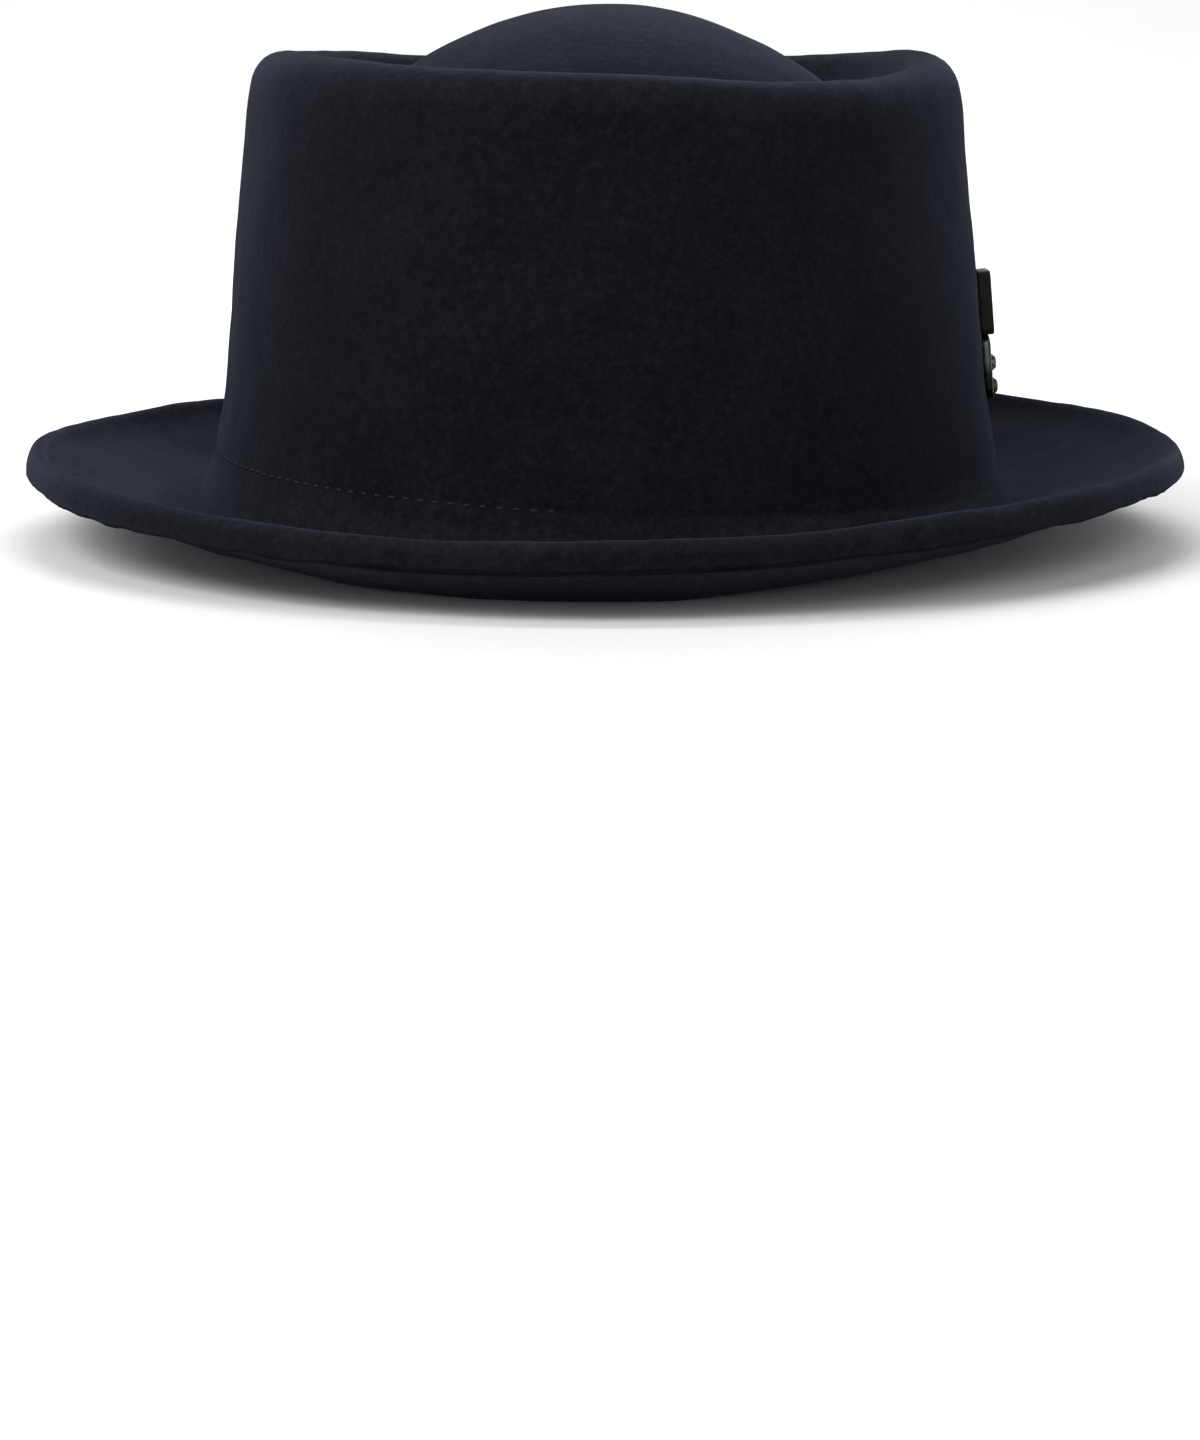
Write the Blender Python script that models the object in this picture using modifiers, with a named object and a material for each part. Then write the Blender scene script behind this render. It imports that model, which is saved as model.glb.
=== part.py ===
"""Felt hat with a telescope crown and a rolled brim, at real size.

Metres, +Z up. The hat rests on the flattened break between crown and brim, at
z = 0. Its front faces -Y, and the badge sits on the +X side of the crown.
"""

import math

import bmesh
import bpy
from mathutils import Matrix

# Felt
FELT = 0.0022
FACETS = 48

# Crown, measured to the outside of the felt
CROWN_HALF_WIDTH = 0.0876
CROWN_HALF_LENGTH = 0.1037
RIM_HEIGHT_FRONT = 0.1029
RIM_HEIGHT_SIDE = 0.1067
RIM_HEIGHT_BACK = 0.1043
RIM_SET_IN = 0.0170
RIM_DIP = 0.0038
RIM_DIP_AT = math.radians(-42)
MOAT_DEPTH = 0.0120
DOME_RISE = 0.0101

# Brim, measured outward from the foot of the crown
FLARE_RISE = 0.0125
FLARE_REACH = 0.0085
SIDE_LIFT = 0.0056
PRESSED = 0.0010
REST_WIDTH = 0.0040
BRIM_WIDTH = 0.0421
ROLL_WIDTH = 0.0080
EDGE_HEIGHT_FRONT = 0.0156
EDGE_HEIGHT_SIDE = 0.0208
EDGE_HEIGHT_BACK = 0.0209
EDGE_SWAY = 0.0020
BREAK_SWAY = 0.0018
LIP_HEIGHT = 0.0039
WELT_HEIGHT = 0.0060

# Sweatband
SEAT_GAP = 0.0003
BAND_THICKNESS = 0.0012
BAND_LIFT = 0.0105
BAND_TOP = 0.0460

# Badge
BADGE_WIDTH = 0.0110
PLATE_HEIGHT = 0.0144
PLATE_THICKNESS = 0.0020
PLATE_TOP = 0.0580
BAR_WIDTH = 0.0070
BAR_HEIGHT = 0.0126
BAR_THICKNESS = 0.0010
STUD_RADIUS = 0.0019
STUD_HEIGHT = 0.0011
STUD_PITCH = 0.0045
PIN_RADIUS = 0.0012
BADGE_STAND_OFF = 0.0009
CORNER_RADIUS = 0.0003

# Crown wall from the crest of the rim down to the break.
# height: share of the rim's height; set_in: share of RIM_SET_IN
CROWN_WALL = (
    {"height": 1.000, "set_in": 1.000},
    {"height": 0.997, "set_in": 0.870},
    {"height": 0.985, "set_in": 0.710},
    {"height": 0.960, "set_in": 0.590},
    {"height": 0.915, "set_in": 0.515},
    {"height": 0.808, "set_in": 0.447},
    {"height": 0.704, "set_in": 0.365},
    {"height": 0.610, "set_in": 0.288},
    {"height": 0.455, "set_in": 0.206},
    {"height": 0.300, "set_in": 0.118},
)

# Dome, from near its middle out to the floor of the moat.
# spread: share of the rim crest's oval; rise: share of the dome over the moat
DOME = (
    {"spread": 0.075, "rise": 0.993},
    {"spread": 0.151, "rise": 0.969},
    {"spread": 0.301, "rise": 0.857},
    {"spread": 0.451, "rise": 0.673},
    {"spread": 0.563, "rise": 0.493},
    {"spread": 0.648, "rise": 0.327},
    {"spread": 0.718, "rise": 0.157},
    {"spread": 0.775, "rise": 0.040},
    {"spread": 0.824, "rise": 0.000},
)

# Inner wall of the rim, from the moat up to the crest.
# spread: share of the rim crest's oval; rise: share of the way up to the crest
MOAT_WALL = (
    {"spread": 0.873, "rise": 0.090},
    {"spread": 0.915, "rise": 0.330},
    {"spread": 0.944, "rise": 0.600},
    {"spread": 0.972, "rise": 0.880},
)

# Brim from the rest ring out to the foot of the lip.
# reach: share of the way there; rise: share of the height gained there
BRIM_SLOPE = (
    {"reach": 0.25, "rise": 0.210},
    {"reach": 0.50, "rise": 0.450},
    {"reach": 0.75, "rise": 0.715},
    {"reach": 1.00, "rise": 1.000},
)

# Inner face of the lip, up to the crest of the edge.
# reach: share of ROLL_WIDTH; drop: share of LIP_HEIGHT below the crest
LIP = (
    {"reach": 0.163, "drop": 0.740},
    {"reach": 0.288, "drop": 0.460},
    {"reach": 0.388, "drop": 0.205},
    {"reach": 0.500, "drop": 0.040},
    {"reach": 0.638, "drop": 0.000},
)

# Welt, where the felt folds over the crest and down to its cut edge.
# reach: share of ROLL_WIDTH; drop: share of WELT_HEIGHT below the crest
WELT = (
    {"reach": 0.800, "drop": 0.080},
    {"reach": 0.925, "drop": 0.250},
    {"reach": 0.985, "drop": 0.460},
    {"reach": 1.000, "drop": 0.680},
    {"reach": 0.975, "drop": 0.860},
    {"reach": 0.890, "drop": 1.000},
)

# Turn of the felt from the crown wall into the brim, as angles of a quarter oval
BREAK_TURN = (0, 25, 50, 70, 90)

# How the break climbs from the ends to the sides, and how wide the rim's dip spreads,
# as powers of a cosine
LIFT_POWER = 1.1
DIP_POWER = 6

# Edges bent more than this stay sharp to the eye
SHARP_ANGLE = math.radians(40)

# Rounded edges take at most this share of a block's least side
MOST_ROUNDING = 0.3

# Facets around the small round pieces, and from a stud's foot to its pole and back
ROUND_SIDES = 14
STUD_RINGS = 8

# Shares of REST_WIDTH where the flattened rest ring has its rows
REST_ROWS = (0.2, 0.8, 1.0)

COLOURS = {
    "felt": ((0.010, 0.013, 0.026), 0.95, 0.0),
    "leather": ((0.020, 0.018, 0.020), 0.55, 0.0),
    "enamel": ((0.030, 0.030, 0.032), 0.30, 0.0),
    "steel": ((0.700, 0.700, 0.720), 0.20, 1.0),
    "brass": ((0.450, 0.330, 0.120), 0.35, 1.0),
}


def clear_scene():
    for obj in list(bpy.data.objects):
        bpy.data.objects.remove(obj, do_unlink=True)


def material(name):
    colour, roughness, metallic = COLOURS[name]
    made = bpy.data.materials.new(name)
    made.use_nodes = True
    shader = made.node_tree.nodes["Principled BSDF"]
    shader.inputs["Base Color"].default_value = (*colour, 1.0)
    shader.inputs["Roughness"].default_value = roughness
    shader.inputs["Metallic"].default_value = metallic
    return made


def add_object(name, bm, collection, finish):
    """A named, smooth-shaded object from a bmesh, with its own material."""
    bmesh.ops.recalc_face_normals(bm, faces=bm.faces)
    mesh = bpy.data.meshes.new(name)
    bm.to_mesh(mesh)
    bm.free()
    mesh.materials.append(material(finish))
    mesh.shade_smooth()
    mesh.set_sharp_from_angle(angle=SHARP_ANGLE)
    obj = bpy.data.objects.new(name, mesh)
    collection.objects.link(obj)
    return obj


def around(angle, front, side, back):
    """A size that changes smoothly from the front to the side to the back."""
    end = front if math.sin(angle) < 0 else back
    return side + (end - side) * math.sin(angle) ** 2


def rim_level(angle):
    """Height of the rim before its dip, which the moat's floor keeps to."""
    return around(angle, RIM_HEIGHT_FRONT, RIM_HEIGHT_SIDE, RIM_HEIGHT_BACK)


def moat_floor(angle):
    return rim_level(angle) - MOAT_DEPTH


def rim_height(angle):
    """Height of the rim's crest, which dips where the felt has sagged at one corner."""
    near = max(0.0, math.cos(angle - RIM_DIP_AT))
    return rim_level(angle) - RIM_DIP * near**DIP_POWER


def sway(angle, size):
    """A lift on the badge side and a dip on the other, between the ends and the sides."""
    return size * math.cos(angle) * abs(math.sin(angle))


def edge_height(angle):
    """Height of the brim's crest."""
    level = around(angle, EDGE_HEIGHT_FRONT, EDGE_HEIGHT_SIDE, EDGE_HEIGHT_BACK)
    return level + sway(angle, EDGE_SWAY)


def break_height(angle):
    """Height of the break, which the floor presses flat at the front and back."""
    lift = (SIDE_LIFT + PRESSED) * abs(math.cos(angle)) ** LIFT_POWER
    return max(0.0, lift + sway(angle, BREAK_SWAY) - PRESSED)


def oval_point(offset, angle, height):
    """A point of the crown's oval, moved outward by an offset."""
    x = (CROWN_HALF_WIDTH + offset) * math.cos(angle)
    y = (CROWN_HALF_LENGTH + offset) * math.sin(angle)
    return (x, y, height)


def tip_point(spread, angle, height):
    """A point of the rim crest's oval, shrunk towards its middle."""
    x = (CROWN_HALF_WIDTH - RIM_SET_IN) * spread * math.cos(angle)
    y = (CROWN_HALF_LENGTH - RIM_SET_IN) * spread * math.sin(angle)
    return (x, y, height)


def dome_height(row, angle):
    """Height on the dome, whose foot follows the moat's floor."""
    floor = moat_floor(angle)
    top = RIM_HEIGHT_SIDE + DOME_RISE
    return floor + (top - floor) * row["rise"]


def moat_height(row, angle):
    floor = moat_floor(angle)
    return floor + (rim_height(angle) - floor) * row["rise"]


def dome_row(row, angle):
    return tip_point(row["spread"], angle, dome_height(row, angle))


def moat_row(row, angle):
    return tip_point(row["spread"], angle, moat_height(row, angle))


def wall_row(row, angle):
    return oval_point(-RIM_SET_IN * row["set_in"], angle, rim_height(angle) * row["height"])


def break_row(turn, angle):
    """A row of the flare that leads the crown wall out into the brim."""
    bend = math.radians(turn)
    offset = FLARE_REACH * (1 - math.cos(bend))
    height = break_height(angle) + FELT + FLARE_RISE * (1 - math.sin(bend))
    return oval_point(offset, angle, height)


def rest_row(share, angle):
    return oval_point(FLARE_REACH + REST_WIDTH * share, angle, break_height(angle) + FELT)


def slope_row(row, angle):
    start = FLARE_REACH + REST_WIDTH
    foot = BRIM_WIDTH - ROLL_WIDTH
    low = break_height(angle) + FELT
    high = edge_height(angle) - LIP_HEIGHT
    offset = start + (foot - start) * row["reach"]
    return oval_point(offset, angle, low + (high - low) * row["rise"])


def roll_offset(row):
    return BRIM_WIDTH - ROLL_WIDTH * (1 - row["reach"])


def lip_row(row, angle):
    return oval_point(roll_offset(row), angle, edge_height(angle) - LIP_HEIGHT * row["drop"])


def welt_row(row, angle):
    return oval_point(roll_offset(row), angle, edge_height(angle) - WELT_HEIGHT * row["drop"])


def felt_rows():
    """The felt's upper face from the middle of the dome to the cut edge."""
    rows = [(dome_row, row) for row in DOME]
    rows += [(moat_row, row) for row in MOAT_WALL]
    rows += [(wall_row, row) for row in CROWN_WALL]
    rows += [(break_row, turn) for turn in BREAK_TURN]
    rows += [(rest_row, share) for share in REST_ROWS]
    rows += [(slope_row, row) for row in BRIM_SLOPE]
    rows += [(lip_row, row) for row in LIP]
    rows += [(welt_row, row) for row in WELT]
    return rows


def angles(count):
    return [2 * math.pi * step / count for step in range(count)]


def loft(bm, rings, closed=False):
    """Quads between rings of the same number of points."""
    loops = [[bm.verts.new(point) for point in ring] for ring in rings]
    pairs = list(zip(loops, loops[1:]))
    if closed:
        pairs.append((loops[-1], loops[0]))
    for inner, outer in pairs:
        for step in range(len(inner)):
            after = (step + 1) % len(inner)
            bm.faces.new((inner[step], outer[step], outer[after], inner[after]))
    return loops


def make_felt_body(collection):
    """Crown and brim as one sheet of felt, thickened towards its inner side."""
    turns = angles(FACETS)
    rings = [[place(row, turn) for turn in turns] for place, row in felt_rows()]
    bm = bmesh.new()
    loops = loft(bm, rings)
    middle = bm.verts.new((0, 0, RIM_HEIGHT_SIDE + DOME_RISE))
    for step in range(FACETS):
        bm.faces.new((middle, loops[0][step], loops[0][(step + 1) % FACETS]))
    body = add_object("felt_body", bm, collection, "felt")
    shell = body.modifiers.new("felt_thickness", "SOLIDIFY")
    shell.thickness = FELT
    shell.offset = -1
    shell.use_even_offset = True
    return body


def wall_set_in(height, angle):
    """How far the crown wall leans in at a height, between the rows of its table."""
    rim = rim_height(angle)
    foot = {"height": (break_height(angle) + FELT + FLARE_RISE) / rim, "set_in": 0.0}
    rows = [*CROWN_WALL, foot]
    share = height / rim
    for upper, lower in zip(rows, rows[1:]):
        if share >= lower["height"]:
            part = (share - lower["height"]) / (upper["height"] - lower["height"])
            return RIM_SET_IN * (lower["set_in"] + (upper["set_in"] - lower["set_in"]) * part)
    return 0.0


def band_levels(angle):
    """Heights of the band's rows: its lower edge, the crown's rows beside it and its top."""
    rows = [row["height"] for row in reversed(CROWN_WALL)]
    scale = rim_height(angle)
    between = [share * scale for share in rows if share * RIM_HEIGHT_SIDE < BAND_TOP]
    return [break_height(angle) + BAND_LIFT, *between, BAND_TOP]


def band_column(angle, depth):
    """The band's points at one angle, a depth in from the outside of the crown's wall."""
    levels = band_levels(angle)
    return [oval_point(-wall_set_in(level, angle) - depth, angle, level) for level in levels]


def make_sweatband(collection):
    """A leather band that follows the crown's wall inside."""
    outer = FELT + SEAT_GAP
    columns = []
    for angle in angles(FACETS):
        face = band_column(angle, outer)
        back = band_column(angle, outer + BAND_THICKNESS)
        columns.append([*face, *reversed(back)])
    bm = bmesh.new()
    loft(bm, list(zip(*columns)), closed=True)
    return add_object("sweatband", bm, collection, "leather")


def wall_lean(low, high):
    """Angle between the crown's side wall and upright, between two heights."""
    return math.atan2(wall_set_in(high, 0) - wall_set_in(low, 0), high - low)


def wall_frame(height, stand_off, lean):
    """A frame on the crown's +X side: its X points out of the wall, its Z up along it."""
    out = CROWN_HALF_WIDTH - wall_set_in(height, 0)
    turn = Matrix.Rotation(-lean, 4, "Y")
    return Matrix.Translation((out, 0, height)) @ turn @ Matrix.Translation((stand_off, 0, 0))


def add_block(name, collection, finish, size, frame):
    """A box with rounded edges, standing on the back face at its frame's X = 0."""
    bm = bmesh.new()
    bmesh.ops.create_cube(bm, size=1)
    bmesh.ops.scale(bm, vec=size, verts=bm.verts)
    bmesh.ops.translate(bm, vec=(size[0] / 2, 0, 0), verts=bm.verts)
    block = add_object(name, bm, collection, finish)
    block.matrix_world = frame
    edge = block.modifiers.new("rounded_edges", "BEVEL")
    edge.width = min(CORNER_RADIUS, MOST_ROUNDING * min(size))
    edge.segments = 2
    return block


def plate_frame():
    """The plate's frame, at the middle of its height."""
    lean = wall_lean(PLATE_TOP - PLATE_HEIGHT, PLATE_TOP)
    return wall_frame(PLATE_TOP - PLATE_HEIGHT / 2, BADGE_STAND_OFF, lean)


def bar_frame():
    """The bar hangs in line with the plate, one seat gap below it."""
    down = -(PLATE_HEIGHT + BAR_HEIGHT) / 2 - SEAT_GAP
    return plate_frame() @ Matrix.Translation((0, 0, down))


def make_badge_plate(collection):
    size = (PLATE_THICKNESS, BADGE_WIDTH, PLATE_HEIGHT)
    return add_block("badge_plate", collection, "enamel", size, plate_frame())


def make_badge_bar(collection):
    size = (BAR_THICKNESS, BAR_WIDTH, BAR_HEIGHT)
    return add_block("badge_bar", collection, "steel", size, bar_frame())


def make_stud(name, collection, finish, along):
    """A low round head on the bar's outer face."""
    bm = bmesh.new()
    bmesh.ops.create_uvsphere(
        bm, u_segments=ROUND_SIDES, v_segments=STUD_RINGS, radius=STUD_RADIUS
    )
    bmesh.ops.bisect_plane(
        bm,
        geom=[*bm.verts, *bm.edges, *bm.faces],
        plane_co=(0, 0, 0),
        plane_no=(0, 0, -1),
        clear_outer=True,
    )
    rim = [edge for edge in bm.edges if edge.is_boundary]
    bmesh.ops.contextual_create(bm, geom=rim)
    bmesh.ops.scale(bm, vec=(1, 1, STUD_HEIGHT / STUD_RADIUS), verts=bm.verts)
    bmesh.ops.rotate(bm, matrix=Matrix.Rotation(math.pi / 2, 3, "Y"), verts=bm.verts)
    stud = add_object(name, bm, collection, finish)
    out = BAR_THICKNESS + SEAT_GAP
    stud.matrix_world = bar_frame() @ Matrix.Translation((out, 0, along))
    return stud


def make_studs(collection):
    make_stud("badge_stud_upper", collection, "steel", 0)
    make_stud("badge_stud_lower", collection, "brass", -STUD_PITCH)


def make_badge_pin(collection):
    """The hidden pin between the plate's back and the felt."""
    length = BADGE_STAND_OFF - 2 * SEAT_GAP
    bm = bmesh.new()
    bmesh.ops.create_cone(
        bm,
        cap_ends=True,
        segments=ROUND_SIDES,
        radius1=PIN_RADIUS,
        radius2=PIN_RADIUS,
        depth=length,
        matrix=Matrix.Rotation(math.pi / 2, 4, "Y"),
    )
    pin = add_object("badge_pin", bm, collection, "steel")
    pin.matrix_world = plate_frame() @ Matrix.Translation((-BADGE_STAND_OFF / 2, 0, 0))
    return pin


def main():
    clear_scene()
    collection = bpy.data.collections.new("fedora")
    bpy.context.scene.collection.children.link(collection)
    make_felt_body(collection)
    make_sweatband(collection)
    make_badge_plate(collection)
    make_badge_bar(collection)
    make_studs(collection)
    make_badge_pin(collection)
    bpy.context.view_layer.update()


main()
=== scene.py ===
import math

import bpy
import numpy as np
from mathutils import Matrix, Vector, noise


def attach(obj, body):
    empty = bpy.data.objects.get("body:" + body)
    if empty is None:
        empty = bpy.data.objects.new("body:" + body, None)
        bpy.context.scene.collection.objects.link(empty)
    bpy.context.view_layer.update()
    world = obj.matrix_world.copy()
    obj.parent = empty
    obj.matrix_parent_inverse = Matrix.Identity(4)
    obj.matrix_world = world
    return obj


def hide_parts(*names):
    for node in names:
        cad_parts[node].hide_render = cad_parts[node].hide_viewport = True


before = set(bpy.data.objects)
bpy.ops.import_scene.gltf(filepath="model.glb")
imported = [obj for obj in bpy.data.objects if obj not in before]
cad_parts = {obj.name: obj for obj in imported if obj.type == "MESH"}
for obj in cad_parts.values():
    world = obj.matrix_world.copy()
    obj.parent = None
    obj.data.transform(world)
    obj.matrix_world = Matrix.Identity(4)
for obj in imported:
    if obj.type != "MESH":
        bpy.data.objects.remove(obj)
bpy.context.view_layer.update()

# Main sizes of the hat and its badge, the same as the solids'. Lengths are in metres
FELT = 0.0022
CROWN_HALF_WIDTH = 0.0876
CROWN_HALF_LENGTH = 0.1037
RIM_HEIGHT_FRONT = 0.1029
RIM_HEIGHT_SIDE = 0.1067
RIM_HEIGHT_BACK = 0.1043
RIM_SET_IN = 0.0170
RIM_DIP = 0.0038
RIM_DIP_AT = math.radians(-42)
DIP_POWER = 6
MOAT_DEPTH = 0.0120
DOME_RISE = 0.0101
FLARE_RISE = 0.0125
FLARE_REACH = 0.0085
SIDE_LIFT = 0.0056
PRESSED = 0.0010
REST_WIDTH = 0.0040
BRIM_WIDTH = 0.0421
ROLL_WIDTH = 0.0080
EDGE_HEIGHT_FRONT = 0.0156
EDGE_HEIGHT_SIDE = 0.0208
EDGE_HEIGHT_BACK = 0.0209
EDGE_SWAY = 0.0020
BREAK_SWAY = 0.0018
LIP_HEIGHT = 0.0039
WELT_HEIGHT = 0.0060
LIFT_POWER = 1.1
SEAT_GAP = 0.0003
BAND_THICKNESS = 0.0012
BAND_LIFT = 0.0105
BAND_TOP = 0.0460
BADGE_WIDTH = 0.0110
PLATE_HEIGHT = 0.0144
PLATE_THICKNESS = 0.0020
PLATE_TOP = 0.0580
BAR_WIDTH = 0.0070
BAR_HEIGHT = 0.0126
BAR_THICKNESS = 0.0010
STUD_RADIUS = 0.0019
STUD_HEIGHT = 0.0011
STUD_PITCH = 0.0045
PIN_RADIUS = 0.0012
BADGE_STAND_OFF = 0.0009

# Crown wall from the crest of the rim down: share of the rim's height, share of RIM_SET_IN
CROWN_WALL = (
    (1.000, 1.000), (0.997, 0.870), (0.985, 0.710), (0.960, 0.590), (0.915, 0.515),
    (0.808, 0.447), (0.704, 0.365), (0.610, 0.288), (0.455, 0.206), (0.300, 0.118),
)
# Dome outward to the moat: share of the rim crest's oval, share of the dome's rise
DOME = (
    (0.020, 1.000), (0.075, 0.993), (0.151, 0.969), (0.301, 0.857), (0.451, 0.673),
    (0.563, 0.493), (0.648, 0.327), (0.718, 0.157), (0.775, 0.040), (0.824, 0.000),
)
# Inner wall of the rim: share of the rim crest's oval, share of the way up to the crest
MOAT_WALL = ((0.873, 0.090), (0.915, 0.330), (0.944, 0.600), (0.972, 0.880))
# Brim to the foot of the lip: share of the way there, share of the height gained
BRIM_SLOPE = ((0.25, 0.210), (0.50, 0.450), (0.75, 0.715), (1.00, 1.000))
# Lip: share of ROLL_WIDTH, share of LIP_HEIGHT below the crest
LIP = ((0.163, 0.740), (0.288, 0.460), (0.388, 0.205), (0.500, 0.040), (0.638, 0.000))
# Welt, rounder here than on the solid: share of ROLL_WIDTH, share of WELT_HEIGHT below the crest
WELT = (
    (0.750, 0.050), (0.840, 0.150), (0.906, 0.300), (0.956, 0.500), (0.994, 0.750),
    (1.000, 0.870), (0.962, 0.967), (0.890, 1.000),
)
# Break from wall to brim: degrees turned. Flat that the hat rests on: share of REST_WIDTH
BREAK_TURN = (0, 25, 50, 70, 90)
REST_ROWS = (0.2, 0.8, 1.0)

# Painted light and shade on the felt's upper face, as how many times paler its colour is at each of
# those rows: at the front and back, at the sides. Above one is painted light, below one painted
# shade
PAINTED_SHADING_DOME = ((2.20, 2.20),) * 3 + (
    (2.00, 1.90), (1.75, 1.65), (1.50, 1.40), (1.30, 1.20), (1.15, 1.10), (1.00, 1.00), (1.00, 1.00),
)
PAINTED_SHADING_MOAT_WALL = ((1.00, 1.00), (1.05, 1.05), (1.25, 1.25), (1.60, 1.60))
PAINTED_SHADING_CROWN_WALL = (
    (1.75, 1.50), (1.65, 1.40), (1.45, 1.20), (1.25, 1.00), (0.95, 0.75),
    (0.92, 0.72), (0.93, 0.74), (0.93, 0.74), (0.94, 0.74), (0.98, 0.74),
)
PAINTED_SHADING_BREAK = ((1.15, 0.85), (1.80, 1.15), (1.95, 1.20), (1.85, 1.15), (1.60, 1.05))
PAINTED_SHADING_REST = ((1.40, 1.00),) * 3
PAINTED_SHADING_BRIM_SLOPE = ((1.20, 0.98), (1.10, 0.96), (1.05, 0.96), (1.15, 1.00))
PAINTED_SHADING_LIP = ((1.35, 1.02), (1.45, 1.05), (1.50, 1.08), (1.45, 1.10), (1.40, 1.12))
PAINTED_SHADING_WELT = (
    (1.45, 1.12), (1.40, 1.10), (1.15, 1.05), (0.92, 0.98), (0.92, 0.98),
    (0.95, 0.95), (0.85, 0.85), (0.70, 0.70),
)
PAINTED_SHADING = (
    *PAINTED_SHADING_DOME, *PAINTED_SHADING_MOAT_WALL, *PAINTED_SHADING_CROWN_WALL, *PAINTED_SHADING_BREAK, *PAINTED_SHADING_REST, *PAINTED_SHADING_BRIM_SLOPE,
    *PAINTED_SHADING_LIP, *PAINTED_SHADING_WELT,
)
# The same painted light and shade for the felt's lower face: place along those rows, how many times
# paler. The pale stretch under the brim is painted light from below; the dark stretch is painted
# shade, the line of shade that the folded edge throws just under itself
BREAK_ROW = len(PAINTED_SHADING_DOME) + len(PAINTED_SHADING_MOAT_WALL) + len(PAINTED_SHADING_CROWN_WALL)
SLOPE_ROW = BREAK_ROW + len(PAINTED_SHADING_BREAK) + len(PAINTED_SHADING_REST)
PAINTED_SHADING_BELOW = (
    (0.0, 1.3), (BREAK_ROW, 1.3), (BREAK_ROW + 4, 2.3), (SLOPE_ROW, 2.8), (SLOPE_ROW + 1, 3.0),
    (SLOPE_ROW + 2, 2.8), (SLOPE_ROW + 2.32, 2.6), (SLOPE_ROW + 2.42, 0.6), (SLOPE_ROW + 2.6, 0.3),
    (SLOPE_ROW + 5, 0.5), (SLOPE_ROW + 14, 0.8), (SLOPE_ROW + 16, 0.4),
)
# Rows of faces at the cut edge that take the lower face's finish and its painted shade
SHADED_ROWS = 2

# Fineness of the felt's surface: points round the hat, and spacing of its rows
AROUND = 320
ROW_SPACING = 0.0019
FLARE_SPACING = 0.0008
FOLD_SPACING = 0.0006

# Unevenness of the blocked felt. Blender's noise mostly keeps within one half, so it is doubled
NOISE_GAIN = 2
DENT_SIZE = 0.035
DENT_DEPTH = 0.00035
NAP_SIZE = 0.009
NAP_DEPTH = 0.00009
NAP_SEED = Vector((5, 9, 2))
FLAT_FADE = 0.002
CREST_WAVE = 0.00018
CREST_CYCLES = 14
CREST_SEED = 3.1
WELT_WAVE = 0.00022
# Waves of the welt's cut edge: cycles round the hat, seed
WELT_RIPPLES = ((60, 7.7), (190, 2.3))

# Stitches round the foot of the crown, which sink into the nap from SINK_FROM to the right
STITCH_HEIGHT = 0.0158
STITCH_SLANT = -0.038
STITCH_PITCH = 0.0036
STITCH_LENGTH = 0.0020
THREAD_RADIUS = 0.00032
SINK_FROM = -0.014
SINK_OVER = 0.012
SINK_DEPTH = 0.00062

# The groove that they pull, and the swell of the felt under it
GROOVE_DEPTH = 0.00035
GROOVE_WIDTH = 0.0007
SWELL_HEIGHT = 0.0009
SWELL_LENGTH = 0.0120
SWELL_FADE = 0.0060
SWELL_OVAL = 1.10

# Camera, as the photograph was taken, in pixels of a 1200 by 1440 picture
IMAGE_SIZE = (1200, 1440)
FOCAL_PX = 3821
CENTRE_SHIFT_PX = 5
SENSOR_MM = 36
CAMERA_AT = (0.0, -0.8637, 0.1122)
CAMERA_PITCH = math.radians(10.31)
NEAREST_SEEN = 0.01

# Edges that turn more than this stay sharp on the badge's parts
SHARP_EDGE = math.radians(38)


def around(angle, front, side, back):
    """A size that changes smoothly from the front to the side to the back."""
    end = front if math.sin(angle) < 0 else back
    return side + (end - side) * math.sin(angle) ** 2


def rim_level(angle):
    """Height of the rim before its dip, which the moat's floor keeps to."""
    return around(angle, RIM_HEIGHT_FRONT, RIM_HEIGHT_SIDE, RIM_HEIGHT_BACK)


def rim_height(angle):
    """Height of the rim's crest, which dips where the felt has sagged at one corner."""
    near = max(0.0, math.cos(angle - RIM_DIP_AT))
    return rim_level(angle) - RIM_DIP * near**DIP_POWER


def sway(angle, size):
    """A lift on one side and an equal drop on the other, none at the ends."""
    return size * math.cos(angle) * abs(math.sin(angle))


def wave(angle, cycles, seed):
    """A smooth closed wander round the hat, mostly between -1 and 1."""
    spot = Vector((math.cos(angle), math.sin(angle), 0)) * cycles / math.tau
    return noise.noise(spot + Vector((0, 0, seed))) * NOISE_GAIN


def edge_height(angle):
    """Height of the brim's crest, with the slight wander of real felt."""
    level = around(angle, EDGE_HEIGHT_FRONT, EDGE_HEIGHT_SIDE, EDGE_HEIGHT_BACK)
    ripple = CREST_WAVE * wave(angle, CREST_CYCLES, CREST_SEED)
    return level + sway(angle, EDGE_SWAY) + ripple


def break_height(angle):
    """Height of the felt's lower face at the break, which climbs from the ends to the sides."""
    lift = (SIDE_LIFT + PRESSED) * abs(math.cos(angle)) ** LIFT_POWER
    return max(0.0, lift + sway(angle, BREAK_SWAY) - PRESSED)


def oval_point(offset, angle, height):
    """A point outside the crown's base oval by an offset."""
    x = (CROWN_HALF_WIDTH + offset) * math.cos(angle)
    y = (CROWN_HALF_LENGTH + offset) * math.sin(angle)
    return (x, y, height)


def tip_point(spread, angle, height):
    """A point at a share of the rim crest's oval."""
    x = (CROWN_HALF_WIDTH - RIM_SET_IN) * spread * math.cos(angle)
    y = (CROWN_HALF_LENGTH - RIM_SET_IN) * spread * math.sin(angle)
    return (x, y, height)


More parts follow.
